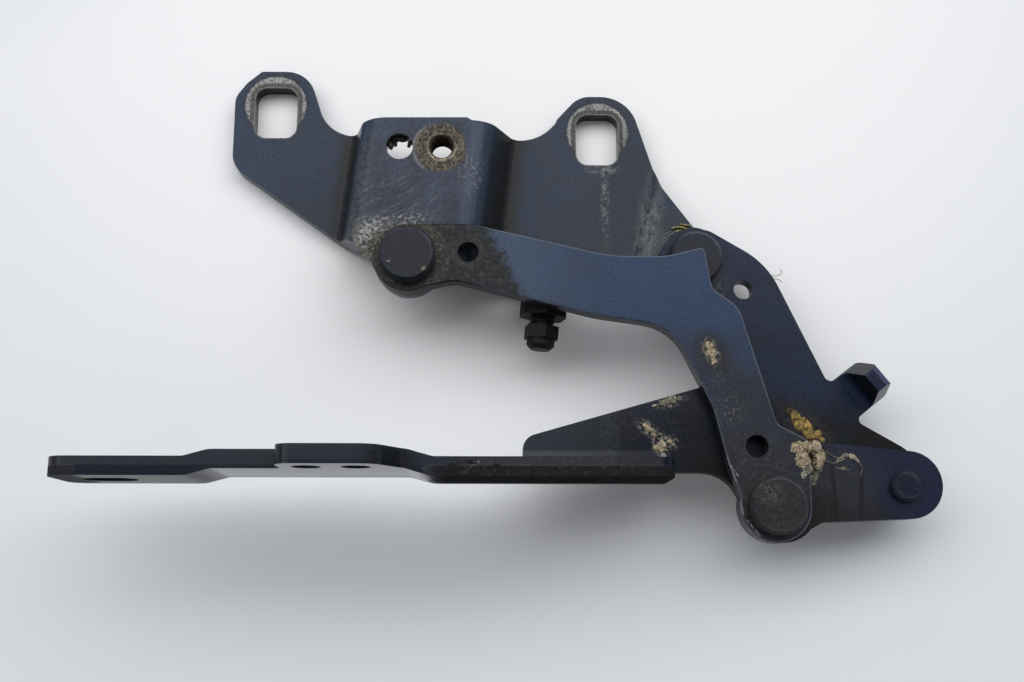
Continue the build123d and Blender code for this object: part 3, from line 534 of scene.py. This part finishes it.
def crust(name, lumps, level, grain, rise, material, body):
    """Lumps run together, roughened, skinned again to close the folds, and cut flat below."""
    balls = []
    for x, y, rx, ry, rz, turn in lumps:
        bpy.ops.object.select_all(action="DESELECT")
        bpy.ops.mesh.primitive_ico_sphere_add(
            subdivisions=3, radius=MM, location=(x * MM, y * MM, level * MM),
            rotation=(0, 0, math.radians(turn)), scale=(rx, ry, rz))
        bpy.ops.object.transform_apply(location=True, rotation=True, scale=True)
        balls.append(bpy.context.object)
    for ball in balls:
        ball.select_set(True)
    thing = balls[0]
    bpy.context.view_layer.objects.active = thing
    bpy.ops.object.join()
    thing.name = name
    reskin(thing, 0.16)
    layers = (("CLOUDS", grain, rise), ("VORONOI", grain * 1.4, rise * 0.25),
              ("CLOUDS", grain * 0.35, rise * 0.8))
    for kind, size, strength in layers:
        texture = bpy.data.textures.new(name + "_" + kind, kind)
        texture.noise_scale = size * MM
        if kind == "VORONOI":
            texture.weight_1, texture.weight_2 = -1.0, 1.0
        bulge = thing.modifiers.new("bulge", "DISPLACE")
        bulge.texture, bulge.texture_coords = texture, "LOCAL"
        bulge.strength, bulge.mid_level = strength * MM, 0.5
        bpy.ops.object.modifier_apply(modifier=bulge.name)
    reskin(thing, 0.13)
    bpy.ops.object.mode_set(mode="EDIT")
    bpy.ops.mesh.select_all(action="SELECT")
    bpy.ops.mesh.bisect(plane_co=(0, 0, (level - 0.05) * MM), plane_no=(0, 0, 1),
                        use_fill=True, clear_inner=True, threshold=0.0005 * MM)
    bpy.ops.mesh.select_all(action="SELECT")
    bpy.ops.mesh.normals_make_consistent(inside=False)
    bpy.ops.object.mode_set(mode="OBJECT")
    thing.data.materials.append(material)
    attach(thing, body)


def mud_finish(name, pale, deep, grey, cavity=None):
    """Dried mud: pale crumbs with dark cracks between them."""
    gap = (0.020, 0.015, 0.010)
    f = Finish(name, 0.9, Specular_IOR_Level=0.15)
    wander = f.place + f.node("TexNoise", "Color", Vector=f.place, Scale=0.6, Detail=3.0) * 1.6
    cracks = f.node("TexVoronoi", "Distance", feature="DISTANCE_TO_EDGE", Vector=wander, Scale=0.75)
    tone = f.noise(1.3, 5.0, 0.75)
    colour = f.mix(deep, pale, f.step(tone, 0.36, 0.60))
    colour = f.mix(colour, grey, f.flecks(2.6, 0.48, 0.66, 3.0) * 0.7)
    split = (1.0 - f.step(cracks, 0.01, 0.09)) * f.flecks(1.8, 0.42, 0.56, 6.0)
    colour = f.mix(colour, gap, split * 0.9)
    if cavity:
        colour = f.mix(colour, gap, f.spot(*cavity, soft=0.35))
    bump = tone * 0.35 + f.noise(0.4, 4.0, 0.7) * 0.2 - split * 0.25
    return f.finish(colour, None, bump, 0.8)


beige_mud = mud_finish("beige_mud", (0.48, 0.40, 0.27), (0.22, 0.17, 0.11), (0.19, 0.165, 0.14),
                       cavity=(141.2, -98.4, 1.1, 1.4, 30.0))
orange_mud = mud_finish("orange_mud", (0.48, 0.33, 0.11), (0.085, 0.062, 0.024),
                        (0.075, 0.066, 0.04))
brown_mud = mud_finish("brown_mud", (0.085, 0.066, 0.036), (0.016, 0.013, 0.010),
                       (0.035, 0.030, 0.022))
grey_mud = mud_finish("grey_mud", (0.30, 0.28, 0.24), (0.11, 0.10, 0.085), (0.10, 0.095, 0.085))
dark_mud = mud_finish("dark_mud", (0.13, 0.125, 0.11), (0.006, 0.006, 0.006),
                      (0.012, 0.012, 0.011))
flange_grime = mud_finish("flange_grime", (0.036, 0.036, 0.034), (0.006, 0.006, 0.006),
                          (0.014, 0.014, 0.014))
green_mud = mud_finish("green_mud", (0.40, 0.37, 0.28), (0.12, 0.11, 0.085), (0.14, 0.13, 0.105))

crust("mud_on_link", [(137.7, -96.2, 2.1, 1.6, 0.8, 20), (139.9, -96.2, 1.5, 1.6, 0.8, 0),
                      (138.9, -99.2, 2.1, 2.3, 0.9, 0)],
      FRONT_LINK_TOP, 1.0, 0.9, beige_mud, "front_link_body")
crust("mud_on_link_edge", [(142.9, -96.0, 1.9, 2.0, 3.0, 0), (143.0, -99.2, 1.9, 2.4, 2.4, 20),
                           (144.4, -97.4, 1.1, 2.0, 1.2, 30)],
      19.7, 1.0, 0.9, beige_mud, "front_link_body")
crust("mud_on_arm", [(144.8, -97.4, 1.3, 2.3, 0.55, 30), (144.2, -99.6, 1.3, 2.0, 0.5, 10)],
      ARM_TOP, 0.8, 0.3, beige_mud, "bonnet_body")
crust("low_mud_on_link", [(139.9, -101.6, 1.4, 1.7, 0.6, 0), (138.9, -103.2, 0.9, 1.1, 0.4, 0)],
      FRONT_LINK_TOP, 0.8, 0.7, grey_mud, "front_link_body")
crust("low_mud_on_arm", [(142.8, -102.4, 1.6, 1.9, 0.55, 0), (144.0, -101.2, 1.2, 1.3, 0.5, 0),
                         (142.6, -104.6, 0.9, 0.9, 0.4, 0)],
      ARM_TOP, 0.8, 0.3, grey_mud, "bonnet_body")
crust("mud_arc_on_arm", [(149.7, -98.7, 1.2, 0.6, 0.5, 40), (151.2, -97.8, 1.2, 0.75, 0.5, 12),
                         (152.9, -97.9, 1.2, 0.75, 0.5, -20), (154.2, -98.9, 0.9, 0.55, 0.4, -55),
                         (150.6, -101.0, 0.9, 0.5, 0.25, 20)],
      ARM_TOP, 0.6, 0.35, green_mud, "bonnet_body")
crust("mud_on_rear_link", [(140.4, -87.0, 2.0, 1.4, 0.45, -60), (141.6, -88.6, 2.3, 1.9, 0.45, 0),
                           (143.2, -90.0, 1.7, 1.9, 0.45, 20), (143.6, -91.2, 2.4, 1.5, 0.45, -50),
                           (145.7, -91.6, 1.5, 1.2, 0.45, 10), (147.0, -93.0, 0.9, 0.7, 0.4, 0)],
      REAR_LINK_TOP, 0.9, 0.4, orange_mud, "rear_link_body")
crust("scorched_mud_on_rear_link", [(138.6, -85.4, 1.5, 1.2, 0.3, -45),
                                    (140.2, -85.6, 1.0, 0.8, 0.25, 0)],
      REAR_LINK_TOP, 0.7, 0.5, brown_mud, "rear_link_body")
crust("mud_on_link_corner", [(116.2, -70.2, 1.2, 1.1, 0.4, 0), (116.9, -72.2, 1.4, 1.3, 0.5, 0),
                             (117.3, -74.4, 0.8, 0.9, 0.25, 0)],
      FRONT_LINK_TOP, 0.7, 0.6, beige_mud, "front_link_body")
crust("mud_on_web", [(100.6, -90.6, 1.5, 0.8, 0.4, -40), (102.2, -92.6, 0.9, 0.5, 0.3, -40),
                     (104.2, -95.4, 1.3, 1.6, 0.6, 0), (106.2, -94.0, 0.7, 0.6, 0.3, 0),
                     (102.6, -95.8, 0.7, 0.9, 0.3, 0)],
      ARM_TOP, 0.6, 0.5, beige_mud, "bonnet_body")
crust("mud_on_web_rim", [(105.0, -84.2, 1.2, 0.7, 0.5, 15), (107.2, -83.4, 1.3, 1.1, 0.8, 15),
                         (102.6, -85.0, 1.0, 0.4, 0.3, 15)],
      ARM_TOP, 0.6, 0.5, green_mud, "bonnet_body")
crust("mud_beside_a", [(25.6, -42.0, 1.4, 0.9, 0.3, 30), (28.6, -41.0, 1.2, 0.6, 0.25, 20),
                       (27.2, -44.6, 0.9, 1.1, 0.25, 0), (32.0, -38.6, 1.3, 0.5, 0.25, 20)],
      PAD_TOP, 0.5, 0.5, grey_mud, "body")
crust("mud_in_pad_hole", [(33.2, -13.6, 0.7, 1.3, 1.5, 20), (34.4, -12.2, 1.3, 0.8, 1.9, 25),
                          (36.4, -11.9, 1.3, 0.6, 1.6, -10), (38.3, -13.2, 0.6, 1.0, 1.4, -20),
                          (34.6, -13.2, 0.5, 0.8, 0.9, 10)],
      15.0, 0.6, 0.6, dark_mud, "body")
crust("grime_on_flange", [(52.6, -102.6, 2.2, 0.5, 0.3, 10), (56.0, -102.3, 1.6, 0.6, 0.35, -15),
                          (55.2, -104.4, 1.3, 0.5, 0.3, 30), (61.6, -103.0, 1.8, 0.4, 0.25, 5)],
      FLANGE_TOP, 0.6, 0.5, flange_grime, "bonnet_body")
crust("crumbs_on_rivet_a", [(34.4, -49.6, 0.6, 0.45, 0.3, 0), (43.4, -51.4, 0.8, 0.5, 0.35, 30)],
      RIVET_TOP, 0.5, 0.2, green_mud, "body")


# Fibres and a scrap of straw: bits of plant and thread caught between the plates.
# They are stuck in the grease round the rivets at A and B, on the rear link and in the arm's mud.
def strands(name, paths, radius, material, body):
    """Thin fibres, each through its own points in mm, with their end caps joined on."""
    data = bpy.data.curves.new(name, "CURVE")
    data.dimensions, data.use_fill_caps = "3D", True
    data.bevel_depth, data.bevel_resolution = radius * MM, 1
    for path in paths:
        spline = data.splines.new("NURBS")
        spline.points.add(len(path) - 1)
        for point, (x, y, z) in zip(spline.points, path):
            point.co = (x * MM, y * MM, z * MM, 1.0)
        spline.use_endpoint_u, spline.order_u, spline.resolution_u = True, 3, 5
    thing = bpy.data.objects.new(name, data)
    bpy.context.scene.collection.objects.link(thing)
    bpy.ops.object.select_all(action="DESELECT")
    thing.select_set(True)
    bpy.context.view_layer.objects.active = thing
    bpy.ops.object.convert(target="MESH")
    bpy.ops.object.mode_set(mode="EDIT")
    bpy.ops.mesh.select_all(action="SELECT")
    bpy.ops.mesh.remove_doubles(threshold=0.001 * MM)
    bpy.ops.mesh.normals_make_consistent(inside=False)
    bpy.ops.object.mode_set(mode="OBJECT")
    thing.data.materials.append(material)
    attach(thing, body)


f = Finish("straw", 0.7, Specular_IOR_Level=0.2)
straw = f.finish(f.mix((0.34, 0.30, 0.10), (0.13, 0.125, 0.06), f.flecks(0.7, 0.4, 0.6)))
f = Finish("fibre", 0.8, Specular_IOR_Level=0.2)
fibre = f.finish(f.mix((0.30, 0.285, 0.24), (0.09, 0.085, 0.07), f.flecks(0.8, 0.4, 0.6)))
f = Finish("dark_fibre", 0.8, Specular_IOR_Level=0.2)
dark_fibre = f.finish(f.mix((0.05, 0.05, 0.045), (0.02, 0.02, 0.02), f.flecks(0.8, 0.4, 0.6)))
strands("straw_at_b", [
    [(109.9, -34.2, 7.7), (112.0, -33.8, 8.3), (114.2, -34.4, 8.1), (115.8, -35.6, 8.6)],
    [(112.6, -33.0, 7.8), (114.0, -33.6, 8.5), (115.2, -33.4, 8.2)],
    [(111.0, -35.2, 7.8), (112.8, -34.6, 8.4), (114.6, -35.4, 8.2)],
], 0.28, straw, "body")
strands("fuzz_on_rear_link", [
    [(136.2, -48.4, 11.0), (137.4, -48.9, 12.6), (138.6, -48.2, 13.4), (138.0, -47.3, 13.8)],
    [(136.6, -49.2, 11.0), (138.0, -49.6, 12.6), (138.4, -50.8, 13.2)],
    [(136.9, -50.0, 11.0), (137.6, -51.4, 12.0), (137.2, -52.2, 12.6)],
], 0.08, dark_fibre, "rear_link_body")
strands("fibres_on_arm", [
    [(145.6, -98.4, 18.6), (147.0, -99.8, 19.1), (149.2, -99.6, 18.9), (151.0, -98.6, 18.8)],
    [(146.2, -96.6, 18.6), (148.2, -98.4, 19.2), (150.4, -98.8, 18.9)],
    [(152.8, -98.4, 18.8), (154.8, -99.6, 19.2), (155.4, -101.4, 18.8), (154.6, -103.0, 18.6)],
    [(148.6, -100.6, 18.6), (150.2, -101.8, 19.0), (152.4, -101.2, 18.7)],
], 0.08, fibre, "bonnet_body")
FIBRES_AT_A = 46
spread = random.Random(7)
tangle = []
for _ in range(FIBRES_AT_A):
    start, reach = math.radians(spread.uniform(88, 164)), math.radians(spread.uniform(8, 22))
    r, z, drift = spread.uniform(8.3, 10.6), spread.uniform(18.65, 19.2), spread.uniform(-0.8, 0.8)
    tangle.append([(PIVOT_A[0] + (r + drift * k / 3) * math.cos(start + reach * k / 3.0),
                    PIVOT_A[1] + (r + drift * k / 3) * math.sin(start + reach * k / 3.0),
                    z + spread.uniform(-0.05, 0.3)) for k in range(4)])
strands("fibres_at_a", tangle, 0.075, fibre, "body")


# Table: a sheet of white paper under the hinge, lit by one wide window past the top edge.
# The camera stands where the photograph's did.
f = Finish("paper", 0.85, Specular_IOR_Level=0.2)
creases = f.noise(60.0, 4.0, 0.5, stretch=(1.0, 0.5, 1.0))
grain = f.noise(1.2, 3.0, 0.6)
shade = f.away(70.0, 60.0) + (f.x * -1.0 - 10.0).most(0.0) * f.step(f.y, 10.0, 60.0) * 0.8
colour = f.mix((0.85, 0.852, 0.865), (0.68, 0.71, 0.735), f.step(shade, 70.0, 250.0))
bpy.ops.object.select_all(action="DESELECT")
bpy.ops.mesh.primitive_plane_add(size=6.0, location=(0, 0, -0.0003))
bpy.ops.object.transform_apply(location=True, rotation=True, scale=True)
table = bpy.context.object
table.name = "table"
table.data.materials.append(f.finish(colour, None, creases * 1.5 + grain * 0.02, 0.5))

world = bpy.data.worlds.new("room")
bpy.context.scene.world = world
world.use_nodes = True
background = world.node_tree.nodes["Background"]
background.inputs["Color"].default_value = (0.97, 0.98, 1.0, 1.0)
path = world.node_tree.nodes.new("ShaderNodeLightPath")
seen = Value(world.node_tree, path.outputs["Is Camera Ray"])
for ray in ("Is Glossy Ray", "Is Transmission Ray"):
    seen = seen.most(Value(world.node_tree, path.outputs[ray]))
put(world.node_tree, background.inputs["Strength"], seen * 0.16 + 0.32)

window_data = bpy.data.lights.new("window", "AREA")
window_data.shape, window_data.size, window_data.size_y = "RECTANGLE", 6.0, 1.5
window_data.energy = 73.0
window = bpy.data.objects.new("window", window_data)
bpy.context.scene.collection.objects.link(window)
window.location = (-0.07, 0.943, 1.73)
window.rotation_mode = "QUATERNION"
inwards = Vector((0.05, -0.05, 0.0)) - window.location
window.rotation_quaternion = inwards.to_track_quat("-Z", "Y")

camera_data = bpy.data.cameras.new("camera")
camera_data.lens, camera_data.sensor_width = 42.2, 36.0
camera_data.clip_start = 0.01
camera = bpy.data.objects.new("camera", camera_data)
bpy.context.scene.collection.objects.link(camera)
right = Vector((0.99983, 0.0, 0.01833))
up = Vector((-0.00372, 0.97915, 0.20311))
forward = Vector((0.01795, 0.20314, -0.97899))
turn = Matrix((right, up, -forward)).transposed()
camera.matrix_world = Matrix.Translation((0.06046, -0.13135, 0.32312)) @ turn.to_4x4()
bpy.context.scene.camera = camera
bpy.context.scene.view_settings.view_transform = "Standard"
